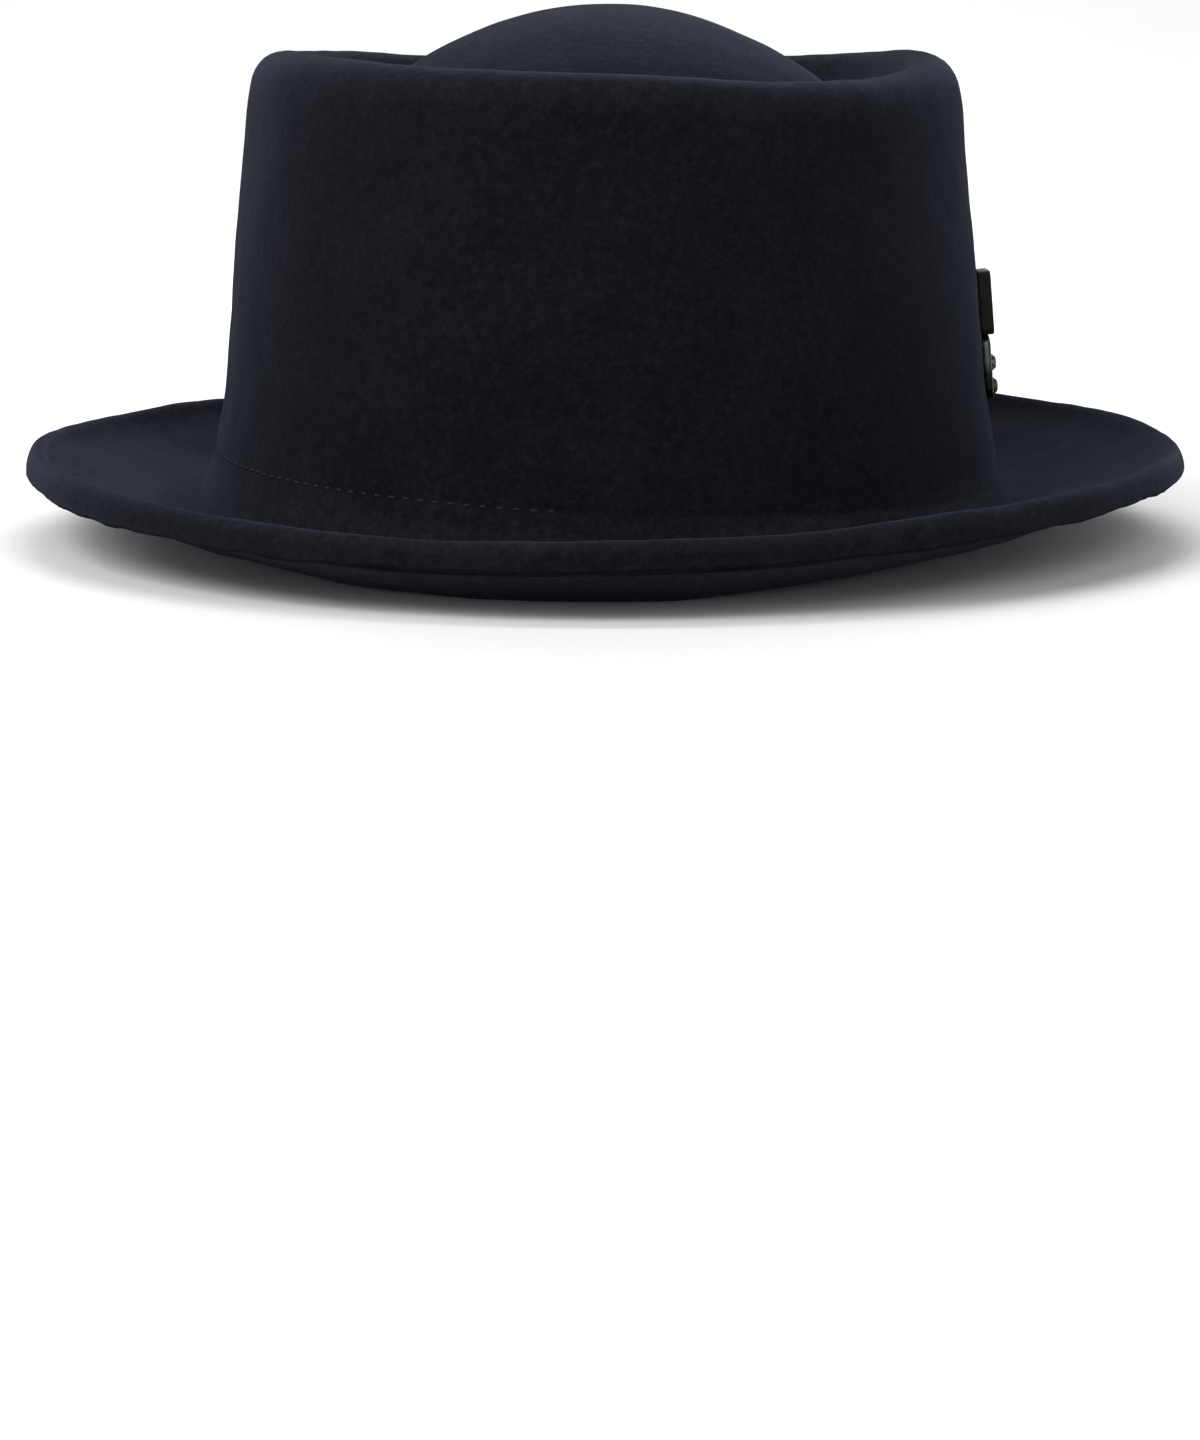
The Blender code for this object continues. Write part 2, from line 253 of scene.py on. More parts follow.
def crown_column(angle):
    """The felt's upper face at one angle, from the dome down to the foot of the crown."""
    rim = rim_height(angle)
    floor = rim_level(angle) - MOAT_DEPTH
    top = RIM_HEIGHT_SIDE + DOME_RISE
    points = [tip_point(spread, angle, floor + (top - floor) * rise) for spread, rise in DOME]
    points += [
        tip_point(spread, angle, floor + (rim - floor) * rise) for spread, rise in MOAT_WALL
    ]
    points += [
        oval_point(-RIM_SET_IN * set_in, angle, rim * height) for height, set_in in CROWN_WALL
    ]
    return points


def brim_column(angle):
    """The felt's upper face at one angle, from the break out to its cut edge."""
    low = break_height(angle) + FELT
    edge = edge_height(angle)
    points = []
    for turn in BREAK_TURN:
        bend = math.radians(turn)
        offset = FLARE_REACH * (1 - math.cos(bend))
        points.append(oval_point(offset, angle, low + FLARE_RISE * (1 - math.sin(bend))))
    points += [oval_point(FLARE_REACH + REST_WIDTH * share, angle, low) for share in REST_ROWS]
    start = FLARE_REACH + REST_WIDTH
    foot = BRIM_WIDTH - ROLL_WIDTH
    gain = edge - LIP_HEIGHT - low
    points += [
        oval_point(start + (foot - start) * reach, angle, low + gain * rise)
        for reach, rise in BRIM_SLOPE
    ]
    points += [
        oval_point(foot + ROLL_WIDTH * reach, angle, edge - LIP_HEIGHT * drop)
        for reach, drop in LIP
    ]
    ragged = WELT_WAVE * sum(wave(angle, cycles, seed) for cycles, seed in WELT_RIPPLES)
    points += [
        oval_point(foot + ROLL_WIDTH * reach, angle, edge - (WELT_HEIGHT + ragged) * drop)
        for reach, drop in WELT
    ]
    return points


def spline_rows(control, counts):
    """Rows between the control rows, on a smooth curve through them all."""
    steps = np.linalg.norm(np.diff(control, axis=0), axis=2).mean(axis=1)
    slopes = np.diff(control, axis=0) / steps[:, None, None]
    tangents = np.empty_like(control)
    tangents[0] = slopes[0]
    tangents[-1] = slopes[-1]
    before = steps[:-1, None, None]
    after = steps[1:, None, None]
    tangents[1:-1] = (slopes[:-1] * after + slopes[1:] * before) / (before + after)
    rows = []
    for index, count in enumerate(counts):
        length = steps[index]
        for part in np.arange(count) / count:
            cubed, squared = part**3, part**2
            rows.append(
                (2 * cubed - 3 * squared + 1) * control[index]
                + (cubed - 2 * squared + part) * length * tangents[index]
                + (3 * squared - 2 * cubed) * control[index + 1]
                + (cubed - squared) * length * tangents[index + 1]
            )
    rows.append(control[-1])
    return np.array(rows)


def row_counts(control):
    """How many rows to lay in each interval: fine at the fold and where the stitches run."""
    steps = np.linalg.norm(np.diff(control, axis=0), axis=2).mean(axis=1)
    foot = len(DOME) + len(MOAT_WALL) + len(CROWN_WALL) - 1
    fold = len(control) - len(WELT) - len(LIP) - len(BRIM_SLOPE) // 2
    counts = []
    for index, step in enumerate(steps):
        spacing = ROW_SPACING
        if foot <= index < foot + len(BREAK_TURN):
            spacing = FLARE_SPACING
        if index >= fold:
            spacing = FOLD_SPACING
        counts.append(max(1, round(step / spacing)))
    return counts


def stitch_level(x):
    """Height of the stitches, which run slightly aslant round the crown."""
    return STITCH_HEIGHT + STITCH_SLANT * x


def surface_normals(grid):
    """Outward normals of a grid of rows that close on themselves."""
    along = np.gradient(grid, axis=0)
    across = np.roll(grid, -1, axis=1) - np.roll(grid, 1, axis=1)
    normals = np.cross(along, across)
    return normals / np.linalg.norm(normals, axis=2, keepdims=True)


def clamped(share):
    """A share kept between 0 and 1."""
    return min(1.0, max(0.0, share))


def unevenness(point):
    """How far real felt stands off the smooth block at a point."""
    spot = Vector(point)
    dents = noise.noise(spot / DENT_SIZE) * DENT_DEPTH * NOISE_GAIN
    nap = noise.noise(spot / NAP_SIZE + NAP_SEED) * NAP_DEPTH * NOISE_GAIN
    return (dents + nap) * clamped((point[2] - FELT) / FLAT_FADE)


def groove(point):
    """How far the stitches pull the felt in, and how it swells out under them."""
    oval = math.hypot(point[0] / CROWN_HALF_WIDTH, point[1] / CROWN_HALF_LENGTH)
    if oval > SWELL_OVAL:
        return 0.0
    angle = math.atan2(point[1] / CROWN_HALF_LENGTH, point[0] / CROWN_HALF_WIDTH)
    below = stitch_level(point[0]) - point[2]
    along = clamped(below / SWELL_LENGTH)
    above_brim = clamped((point[2] - break_height(angle) - FELT) / SWELL_FADE)
    swell = SWELL_HEIGHT * math.sin(math.pi * along) * above_brim
    return swell - GROOVE_DEPTH * math.exp(-((below / GROOVE_WIDTH) ** 2))


def felt_grid():
    """The felt's upper face, rows from the dome to the cut edge, and the painted light and shade on
    its faces.
    """
    angles = [math.tau * step / AROUND for step in range(AROUND)]
    columns = [crown_column(angle) + brim_column(angle) for angle in angles]
    control = np.array(columns).transpose(1, 0, 2)
    counts = row_counts(control)
    grid = spline_rows(control, counts)
    normals = surface_normals(grid)
    flat = grid.reshape(-1, 3)
    shifts = np.array([unevenness(point) + groove(point) for point in flat])
    raised = grid + normals * shifts.reshape(grid.shape[0], grid.shape[1], 1)
    return raised, painted_shading_rows(counts, AROUND)


def painted_shading_rows(counts, columns):
    """The painted light and shade at each point of the felt's grid, on its upper and on its lower
    face.
    """
    ends, sides = np.array(PAINTED_SHADING).T
    places = np.concatenate([index + np.arange(count) / count for index, count in enumerate(counts)])
    places = np.append(places, len(counts))
    share = np.sin(np.arange(columns) * math.tau / columns) ** 2
    at_ends = np.interp(places, np.arange(len(ends)), ends)[:, None]
    at_sides = np.interp(places, np.arange(len(sides)), sides)[:, None]
    above = at_sides + (at_ends - at_sides) * share
    rows, tones = np.array(PAINTED_SHADING_BELOW).T
    below = np.repeat(np.interp(places, rows, tones)[:, None], columns, axis=1)
    return above, below


def new_object(name, vertices, faces, material):
    """A smooth mesh object with one material."""
    mesh = bpy.data.meshes.new(name)
    mesh.from_pydata([tuple(point) for point in vertices], [], faces)
    mesh.materials.append(material)
    mesh.shade_smooth()
    made = bpy.data.objects.new(name, mesh)
    bpy.context.scene.collection.objects.link(made)
    return made


def grid_faces(rows, columns, closed_rows=False):
    """Faces between the rows of a grid whose columns go all the way round."""
    faces = []
    last = rows if closed_rows else rows - 1
    for row in range(last):
        here = row * columns
        below = (row + 1) % rows * columns
        for column in range(columns):
            after = (column + 1) % columns
            faces.append((here + column, below + column, below + after, here + after))
    return faces


def tube_faces(rings, sides):
    """Faces of a closed tube of rings, with a cap at each end."""
    faces = []
    for ring in range(rings - 1):
        here = ring * sides
        there = here + sides
        for side in range(sides):
            after = (side + 1) % sides
            faces.append((here + side, here + after, there + after, there + side))
    last = (rings - 1) * sides
    faces.append(tuple(range(sides))[::-1])
    faces.append(tuple(last + side for side in range(sides)))
    return faces


def make_felt(material, below_material):
    """Crown and brim as one sheet of felt with its real thickness, finished on both faces."""
    grid, (above, below) = felt_grid()
    rows, columns = grid.shape[:2]
    vertices = list(grid.reshape(-1, 3))
    faces = grid_faces(rows, columns)
    middle = len(vertices)
    vertices.append(grid[0].mean(axis=0))
    faces += [(middle, column, (column + 1) % columns) for column in range(columns)]
    felt = new_object("hat_felt", vertices, faces, material)
    # Painted light and shade, kept on the points for each face's finish
    for name, tones in (("shading_paint_above", above), ("shading_paint_below", below)):
        paint = felt.data.attributes.new(name, "FLOAT", "POINT")
        paint.data.foreach_set("value", [*tones.ravel(), tones[0, 0]])
    shell = felt.modifiers.new("felt_thickness", "SOLIDIFY")
    shell.thickness = FELT
    shell.offset = -1
    shell.use_even_offset = True
    felt.data.materials.append(below_material)
    shell.material_offset = 1
    shell.material_offset_rim = 1
    # The last rows at the cut edge take the lower finish, whose painted shade darkens them
    cut_edge = (rows - 1) * columns
    for index in range(cut_edge - SHADED_ROWS * columns, cut_edge):
        felt.data.polygons[index].material_index = 1
    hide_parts("felt_body")
    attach(felt, "root")


def wall_set_in(height, angle):
    """How far the crown wall leans in at a height."""
    rim = rim_height(angle)
    foot = ((break_height(angle) + FELT + FLARE_RISE) / rim, 0.0)
    rows = [*CROWN_WALL, foot]
    share = height / rim
    for upper, lower in zip(rows, rows[1:]):
        if share >= lower[0]:
            part = (share - lower[0]) / (upper[0] - lower[0])
            return RIM_SET_IN * (lower[1] + (upper[1] - lower[1]) * part)
    return 0.0


def wall_point(angle, height, stand_off):
    """A point a distance outside the crown's wall, or inside it where that is negative."""
    return Vector(oval_point(stand_off - wall_set_in(height, angle), angle, height))


def flare_offset(height, angle):
    """How far the felt has moved outward at a height on the flare."""
    share = (height - break_height(angle) - FELT) / FLARE_RISE
    turn = math.asin(1 - clamped(share))
    return FLARE_REACH * (1 - math.cos(turn))


def felt_point(angle, height, stand_off):
    """A point a distance outside the felt's upper face, on the crown's wall or its flare."""
    offset = flare_offset(height, angle) - wall_set_in(height, angle) + stand_off
    return Vector(oval_point(offset, angle, height))


BAND_AROUND = 240
BAND_ROWS = 12
# Band's rounded edge from its tip inward: share of its height, share of its thickness
BAND_EDGE = ((0.0, 0.5), (0.015, 0.05))
BAND_FLAT = 0.05


def band_section():
    """The band's section: share of its height, share of its thickness, both from outside low."""
    flat = [BAND_FLAT + (1 - 2 * BAND_FLAT) * step / BAND_ROWS for step in range(BAND_ROWS + 1)]
    tip, bevel = BAND_EDGE
    rows = [tip, bevel]
    rows += [(rise, 0.0) for rise in flat]
    rows += [(1 - bevel[0], bevel[1]), (1 - tip[0], tip[1]), (1 - bevel[0], 1 - bevel[1])]
    rows += [(rise, 1.0) for rise in reversed(flat)]
    rows.append((bevel[0], 1 - bevel[1]))
    return rows


def make_sweatband(material):
    """The leather band inside the crown, with rounded edges."""
    section = band_section()
    vertices = []
    for rise, depth in section:
        for step in range(BAND_AROUND):
            angle = math.tau * step / BAND_AROUND
            low = break_height(angle) + BAND_LIFT
            height = low + (BAND_TOP - low) * rise
            inward = FELT + SEAT_GAP + BAND_THICKNESS * depth
            vertices.append(wall_point(angle, height, -inward))
    faces = grid_faces(len(section), BAND_AROUND, closed_rows=True)
    band = new_object("sweatband_leather", vertices, faces, material)
    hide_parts("sweatband")
    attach(band, "root")


STITCH_SIDES = 6
STITCH_RINGS = 5
# In radii of the thread: how high a stitch bows, how deep its ends lie, how thick they are
STITCH_BOW = 1.5
STITCH_ENDS_DEEP = 0.9
STITCH_END_SIZE = 0.55
# Steps by which the length of the oval is measured
OVAL_STEPS = 3600


def stitch_mesh(start, end, outward, radius):
    """One stitch: a short thread that comes up at one end and goes down at the other."""
    along = (end - start).normalized()
    across = along.cross(outward).normalized()
    points = []
    for ring in range(STITCH_RINGS + 1):
        part = ring / STITCH_RINGS
        bow = math.sin(math.pi * part)
        centre = start.lerp(end, part) + outward * radius * (STITCH_BOW * bow - STITCH_ENDS_DEEP)
        size = radius * (STITCH_END_SIZE + (1 - STITCH_END_SIZE) * bow)
        for side in range(STITCH_SIDES):
            turn = math.tau * side / STITCH_SIDES
            points.append(centre + (across * math.cos(turn) + outward * math.sin(turn)) * size)
    return points, tube_faces(STITCH_RINGS + 1, STITCH_SIDES)


def stitch_angles():
    """Angles at even steps along the oval where the stitches start, and the step's length."""
    turns = np.arange(OVAL_STEPS + 1) * math.tau / OVAL_STEPS
    points = np.column_stack((CROWN_HALF_WIDTH * np.cos(turns), CROWN_HALF_LENGTH * np.sin(turns)))
    lengths = np.concatenate(([0], np.cumsum(np.linalg.norm(np.diff(points, axis=0), axis=1))))
    count = round(lengths[-1] / STITCH_PITCH)
    return np.interp(np.arange(count) * lengths[-1] / count, lengths, turns), lengths[-1] / count


def make_stitches(name, stand_off, outward_sign, material):
    """A ring of stitches on the felt's upper face (sign 1) or on the band's face (sign -1)."""
    starts, pitch = stitch_angles()
    vertices = []
    faces = []
    for angle in starts:
        turn = STITCH_LENGTH / pitch * (math.tau / len(starts))
        across = math.cos(angle) / CROWN_HALF_WIDTH
        along = math.sin(angle) / CROWN_HALF_LENGTH
        outward = Vector((across, along, 0)).normalized() * outward_sign
        ends = []
        for place in (angle, angle + turn):
            level = stitch_level(felt_point(place, STITCH_HEIGHT, 0).x)
            spot = felt_point(place, level, stand_off)
            if outward_sign > 0:
                hidden = clamped((spot.x - SINK_FROM) / SINK_OVER)
                spot += outward * (unevenness(spot) + groove(spot) - SINK_DEPTH * hidden)
            ends.append(spot)
        points, sides = stitch_mesh(ends[0], ends[1], outward, THREAD_RADIUS)
        base = len(vertices)
        vertices += points
        faces += [tuple(base + index for index in face) for face in sides]
    made = new_object(name, vertices, faces, material)
    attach(made, "root")


def wall_lean(low, high):
    """Angle between the crown's side wall and upright, between two heights."""
    return math.atan2(wall_set_in(high, 0) - wall_set_in(low, 0), high - low)


def plate_frame():
    """A frame at the middle of the plate's back: X out of the wall, Z up along it."""
    height = PLATE_TOP - PLATE_HEIGHT / 2
    lean = wall_lean(PLATE_TOP - PLATE_HEIGHT, PLATE_TOP)
    out = CROWN_HALF_WIDTH - wall_set_in(height, 0)
    turn = Matrix.Rotation(-lean, 4, "Y")
    stand = Matrix.Translation((BADGE_STAND_OFF, 0, 0))
    return Matrix.Translation((out, 0, height)) @ turn @ stand


def bar_frame():
    """The bar hangs in line with the plate, one seat gap below it."""
    down = -(PLATE_HEIGHT + BAR_HEIGHT) / 2 - SEAT_GAP
    return plate_frame() @ Matrix.Translation((0, 0, down))


CORNER_STEPS = 8
SMALLEST_CORNER = 0.0002


def rounded_outline(width, height, radius):
    """Points (across, up) round a rectangle with round corners."""
    points = []
    corners = ((1, 1, 0), (-1, 1, 90), (-1, -1, 180), (1, -1, 270))
    for side, level, start in corners:
        for step in range(CORNER_STEPS + 1):
            turn = math.radians(start + 90 * step / CORNER_STEPS)
            across = side * (width / 2 - radius) + radius * math.cos(turn)
            up = level * (height / 2 - radius) + radius * math.sin(turn)
            points.append((across, up))
    return points


# Plate outward from the felt: how far in from the outline, share of its thickness. The shares
# below zero are its back, which reaches past the solid's to the felt
PLATE_RINGS = (
    (0.00012, -0.37), (0.00002, -0.32), (0.00000, 0.00), (0.00000, 0.18), (0.00000, 0.80),
    (0.00008, 0.93), (0.00028, 1.00), (0.00100, 1.00), (0.00120, 0.95), (0.00130, 0.78),
    (0.00150, 0.74),
)
# Bar outward from the felt, in the same way
BAR_RINGS = (
    (0.00012, -0.75), (0.00002, -0.60), (0.00000, 0.12), (0.00000, 0.35), (0.00000, 0.60),
    (0.00010, 0.82), (0.00045, 0.97), (0.00110, 1.00), (0.00220, 1.00),
)
PLATE_CORNER = 0.0016
BAR_CORNER = 0.0022
BAR_BOW = 0.00035
# How much longer the bar is than its solid, above and below
BAR_HEAD = 0.00025
BAR_TAIL = 0.0016


def lofted_tile(name, frame_matrix, size, corner, rings, bow, material):
    """A small tile built of rounded outlines, from size (thickness, width, height)."""
    thickness, width, height = size
    vertices = []
    for inset, share in rings:
        radius = max(corner - inset, SMALLEST_CORNER)
        for across, up in rounded_outline(width - 2 * inset, height - 2 * inset, radius):
            lift = bow * (1 - (2 * up / height) ** 2) * share
            vertices.append(frame_matrix @ Vector((thickness * share + lift, across, up)))
    made = new_object(name, vertices, tube_faces(len(rings), len(vertices) // len(rings)), material)
    made.data.set_sharp_from_angle(angle=SHARP_EDGE)
    return made


def turned_piece(name, frame_matrix, profile, sides, material):
    """A round piece turned about its frame's X, from (radius, distance out) points."""
    vertices = []
    for radius, out in profile:
        for side in range(sides):
            turn = math.tau * side / sides
            spot = Vector((out, radius * math.cos(turn), radius * math.sin(turn)))
            vertices.append(frame_matrix @ spot)
    made = new_object(name, vertices, tube_faces(len(profile), sides), material)
    made.data.set_sharp_from_angle(angle=SHARP_EDGE)
    return made


# Stud from its seat outward: share of its radius, share of its height
STUD_PROFILE = (
    (0.92, 0.00), (1.00, 0.08), (1.00, 0.26), (0.94, 0.34), (0.86, 0.36), (0.84, 0.46),
    (0.78, 0.64), (0.66, 0.80), (0.48, 0.92), (0.26, 0.985), (0.06, 1.00),
)
STUD_SIDES = 40
RIB_COUNT = 3
RIB_PITCH = 0.0030
RIB_WIDTH = 0.0062
RIB_HEIGHT = 0.0011
RIB_THICKNESS = 0.00032
PIN_BEVEL = 0.00005
PIN_BEVEL_RADIUS = 0.9 * PIN_RADIUS
# Rib outward from the field of the plate: how far in, share of its thickness
RIB_RINGS = ((0.0, 0.0), (0.0, 0.5), (0.0001, 0.85), (0.0003, 1.0))


def dress(piece, node_name):
    """Puts a badge piece in the frame, in place of a node where one is named."""
    if node_name:
        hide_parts(node_name)
    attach(piece, "root")


def make_badge(enamel, steel, bar_steel, brass):
    """The small plain badge on the side of the crown."""
    plate_size = (PLATE_THICKNESS, BADGE_WIDTH, PLATE_HEIGHT)
    plate = lofted_tile(
        "badge_plate_framed", plate_frame(), plate_size, PLATE_CORNER, PLATE_RINGS, 0, enamel
    )
    dress(plate, "badge_plate")
    field = PLATE_THICKNESS * PLATE_RINGS[-1][1]
    for rib in range(RIB_COUNT):
        up = (rib - (RIB_COUNT - 1) / 2) * RIB_PITCH
        place = plate_frame() @ Matrix.Translation((field, 0, up))
        size = (RIB_THICKNESS, RIB_WIDTH, RIB_HEIGHT)
        name = f"badge_rib_{rib + 1}"
        ribbed = lofted_tile(name, place, size, RIB_HEIGHT / 2, RIB_RINGS, 0, steel)
        dress(ribbed, None)
    bar_size = (BAR_THICKNESS, BAR_WIDTH, BAR_HEIGHT + BAR_HEAD + BAR_TAIL)
    bar_place = bar_frame() @ Matrix.Translation((0, 0, (BAR_HEAD - BAR_TAIL) / 2))
    bar = lofted_tile(
        "badge_bar_polished", bar_place, bar_size, BAR_CORNER, BAR_RINGS, BAR_BOW, bar_steel
    )
    dress(bar, "badge_bar")
    profile = [(STUD_RADIUS * wide, STUD_HEIGHT * out) for wide, out in STUD_PROFILE]
    seat = BAR_THICKNESS + SEAT_GAP
    for name, along, metal, slot_name in (
        ("upper", 0, steel, "steel"), ("lower", -STUD_PITCH - BAR_TAIL / 2, brass, "brass")
    ):
        place = bar_frame() @ Matrix.Translation((seat, 0, along))
        stud = turned_piece(f"badge_stud_{name}_domed", place, profile, STUD_SIDES, metal)
        dress(stud, f"badge_stud_{name}")
    length = BADGE_STAND_OFF - 2 * SEAT_GAP
    pin_profile = [(PIN_BEVEL_RADIUS, 0), (PIN_RADIUS, PIN_BEVEL), (PIN_RADIUS, length)]
    place = plate_frame() @ Matrix.Translation((-BADGE_STAND_OFF + SEAT_GAP, 0, 0))
    pin = turned_piece("badge_pin_turned", place, pin_profile, STUD_SIDES, steel)
    dress(pin, "badge_pin")


# Input and output sockets of a colour Mix node
MIX_FACTOR = 0
MIX_FIRST = 6
MIX_SECOND = 7
MIX_RESULT = 2


def node(tree, kind, **inputs):
    """A new node with some of its inputs set."""
    made = tree.nodes.new(kind)
    for key, value in inputs.items():
        made.inputs[key.replace("_", " ")].default_value = value
    return made


def principled(name):
    """A new material with its node tree and shader."""
    made = bpy.data.materials.new(name)
    made.use_nodes = True
    return made, made.node_tree, made.node_tree.nodes["Principled BSDF"]


def finish(shader, **values):
    """Sets constant inputs of a shader."""
    for key, value in values.items():
        shader.inputs[key.replace("_", " ")].default_value = value


def object_noise(tree, scale, detail, roughness):
    """Noise laid in the hat's own space, in features per metre."""
    place = tree.nodes.new("ShaderNodeTexCoord")
    made = node(tree, "ShaderNodeTexNoise", Scale=scale, Detail=detail, Roughness=roughness)
    tree.links.new(place.outputs["Object"], made.inputs["Vector"])
    return made.outputs["Fac"]


def ramp(tree, source, stops):
    """A colour ramp over a value, from its stops of place and colour."""
    made = tree.nodes.new("ShaderNodeValToRGB")
    elements = made.color_ramp.elements
    while len(elements) < len(stops):
        elements.new(0.5)
    for element, (place, colour) in zip(elements, stops):
        element.position = place
        element.color = (*colour, 1.0)
    tree.links.new(source, made.inputs["Fac"])
    return made.outputs["Color"]


def grey_ramp(tree, source, stops):
    """A ramp of plain greys over a value, from its stops of place and tone."""
    return ramp(tree, source, [(place, (tone, tone, tone)) for place, tone in stops])


def multiply(tree, first, second):
    """The product of two colours."""
    made = tree.nodes.new("ShaderNodeMix")
    made.data_type = "RGBA"
    made.blend_type = "MULTIPLY"
    made.inputs[MIX_FACTOR].default_value = 1.0
    tree.links.new(first, made.inputs[MIX_FIRST])
    tree.links.new(second, made.inputs[MIX_SECOND])
    return made.outputs[MIX_RESULT]


def bump(tree, height, strength, distance, normal=None):
    """A bumped normal, laid over another one where that is given."""
    made = node(tree, "ShaderNodeBump", Strength=strength, Distance=distance)
    tree.links.new(height, made.inputs["Height"])
    if normal is not None:
        tree.links.new(normal, made.inputs["Normal"])
    return made.outputs["Normal"]


# Noises: features per metre, detail, roughness. Stops: place on the noise, tone
FELT_CLOUDS = (60, 3.0, 0.55)
FELT_CLOUD_STOPS = ((0.30, 0.86), (0.70, 1.14))
FELT_FLECKS = (900, 5.0, 0.72)
FELT_FLECK_STOPS = ((0.36, 0.76), (0.50, 0.96), (0.66, 1.36))
FELT_TUFTS = (420, 2.0, 0.6)
FELT_TUFT_STOPS = ((0.32, 0.84), (0.68, 1.18))
# Bumps: strength, height in metres
FELT_LUMP_BUMP = (0.28, 0.0005)
FELT_THREAD_BUMP = (0.35, 0.0003)

FELT_BASE = (0.00712, 0.00732, 0.00947)
FELT_SHEEN = (0.628, 0.714, 1.0)
SHEEN_ROUGHNESS = 0.45
SHEEN_WEIGHT = 0.0892
ABOVE_TINT = (1.0, 1.0, 1.0)
BELOW_TINT = (1.06, 1.00, 0.98)
BELOW_SHEEN_WEIGHT = 0.030


def felt_material(name, paint_name, colour_tint, sheen_weight):
    """Dense navy wool felt: matt, with a soft nap that lightens at grazing angles."""
    material, tree, shader = principled(name)
    tinted = [channel * part for channel, part in zip(FELT_BASE, colour_tint)]
    cloud_stops = [
        (place, [channel * tone for channel in tinted]) for place, tone in FELT_CLOUD_STOPS
    ]
    colour = ramp(tree, object_noise(tree, *FELT_CLOUDS), cloud_stops)
    flecks = object_noise(tree, *FELT_FLECKS)
    tufts = object_noise(tree, *FELT_TUFTS)
    paint = tree.nodes.new("ShaderNodeAttribute")
    paint.attribute_name = paint_name
    colour = multiply(tree, colour, grey_ramp(tree, flecks, FELT_FLECK_STOPS))
    colour = multiply(tree, colour, grey_ramp(tree, tufts, FELT_TUFT_STOPS))
    # The base colour is multiplied by the painted light and shade kept on the points
    colour = multiply(tree, colour, paint.outputs["Color"])
    tree.links.new(colour, shader.inputs["Base Color"])
    finish(
        shader,
        Roughness=1.0,
        Specular_IOR_Level=0.0,
        Sheen_Weight=sheen_weight,
        Sheen_Roughness=SHEEN_ROUGHNESS,
        Sheen_Tint=(*FELT_SHEEN, 1.0),
    )
    lumps = bump(tree, tufts, *FELT_LUMP_BUMP)
    tree.links.new(bump(tree, flecks, *FELT_THREAD_BUMP, lumps), shader.inputs["Normal"])
    return material


THREAD_TWIST = (2600, 2.0, 0.5)
THREAD_STOPS = ((0.35, (0.0150, 0.0154, 0.0180)), (0.65, (0.0230, 0.0236, 0.0270)))
THREAD_BUMP = (0.4, 0.0001)


def thread_material():
    """Twisted navy thread, a little paler than the felt."""
    material, tree, shader = principled("thread_navy")
    twist = object_noise(tree, *THREAD_TWIST)
    tree.links.new(ramp(tree, twist, THREAD_STOPS), shader.inputs["Base Color"])
    finish(shader, Roughness=0.8, Specular_IOR_Level=0.15)
    tree.links.new(bump(tree, twist, *THREAD_BUMP), shader.inputs["Normal"])
    return material


LEATHER_GRAIN_SCALE = 1100
LEATHER_WEAR = (90, 4.0, 0.6)
LEATHER_STOPS = ((0.35, (0.012, 0.011, 0.012)), (0.68, (0.026, 0.023, 0.023)))
LEATHER_ROUGH_STOPS = ((0.30, 0.42), (0.70, 0.62))
LEATHER_BUMP = (0.35, 0.0002)


def leather_material():
    """Black leather with a fine grain, shinier where it is worn."""
    material, tree, shader = principled("leather_black")
    place = tree.nodes.new("ShaderNodeTexCoord")
    grain = node(tree, "ShaderNodeTexVoronoi", Scale=LEATHER_GRAIN_SCALE)
    tree.links.new(place.outputs["Object"], grain.inputs["Vector"])
    wear = object_noise(tree, *LEATHER_WEAR)
    tree.links.new(ramp(tree, wear, LEATHER_STOPS), shader.inputs["Base Color"])
    tree.links.new(grey_ramp(tree, wear, LEATHER_ROUGH_STOPS), shader.inputs["Roughness"])
    pores = bump(tree, grain.outputs["Distance"], *LEATHER_BUMP)
    tree.links.new(pores, shader.inputs["Normal"])
    return material


METAL_WEAR = (700, 4.0, 0.6)
METAL_PLACES = (0.35, 0.65)
METAL_ROUGH_PLACES = (0.3, 0.7)
METAL_BUMP = (0.08, 0.0001)
# Metals: dark and light colour, low and high roughness
STEEL = ((0.085, 0.088, 0.092), (0.150, 0.154, 0.160), 0.20, 0.34)
BAR_STEEL = ((0.050, 0.052, 0.055), (0.090, 0.093, 0.097), 0.24, 0.38)
BRASS = ((0.060, 0.046, 0.020), (0.130, 0.098, 0.045), 0.28, 0.45)
# Darkening of the bar towards its lower end: height below which it lies, how softly it ends, how
# dark it is
BAR_DARKER_BELOW = (0.0350, 0.0025, 0.25)


def darker_below_tone(tree, height, soft, share):
    """A tone that is darker below a height."""
    place = tree.nodes.new("ShaderNodeTexCoord")
    parts = tree.nodes.new("ShaderNodeSeparateXYZ")
    tree.links.new(place.outputs["Object"], parts.inputs["Vector"])
    fade = node(tree, "ShaderNodeMapRange", From_Min=height, From_Max=height + soft, To_Min=share)
    tree.links.new(parts.outputs["Z"], fade.inputs["Value"])
    return fade.outputs["Result"]


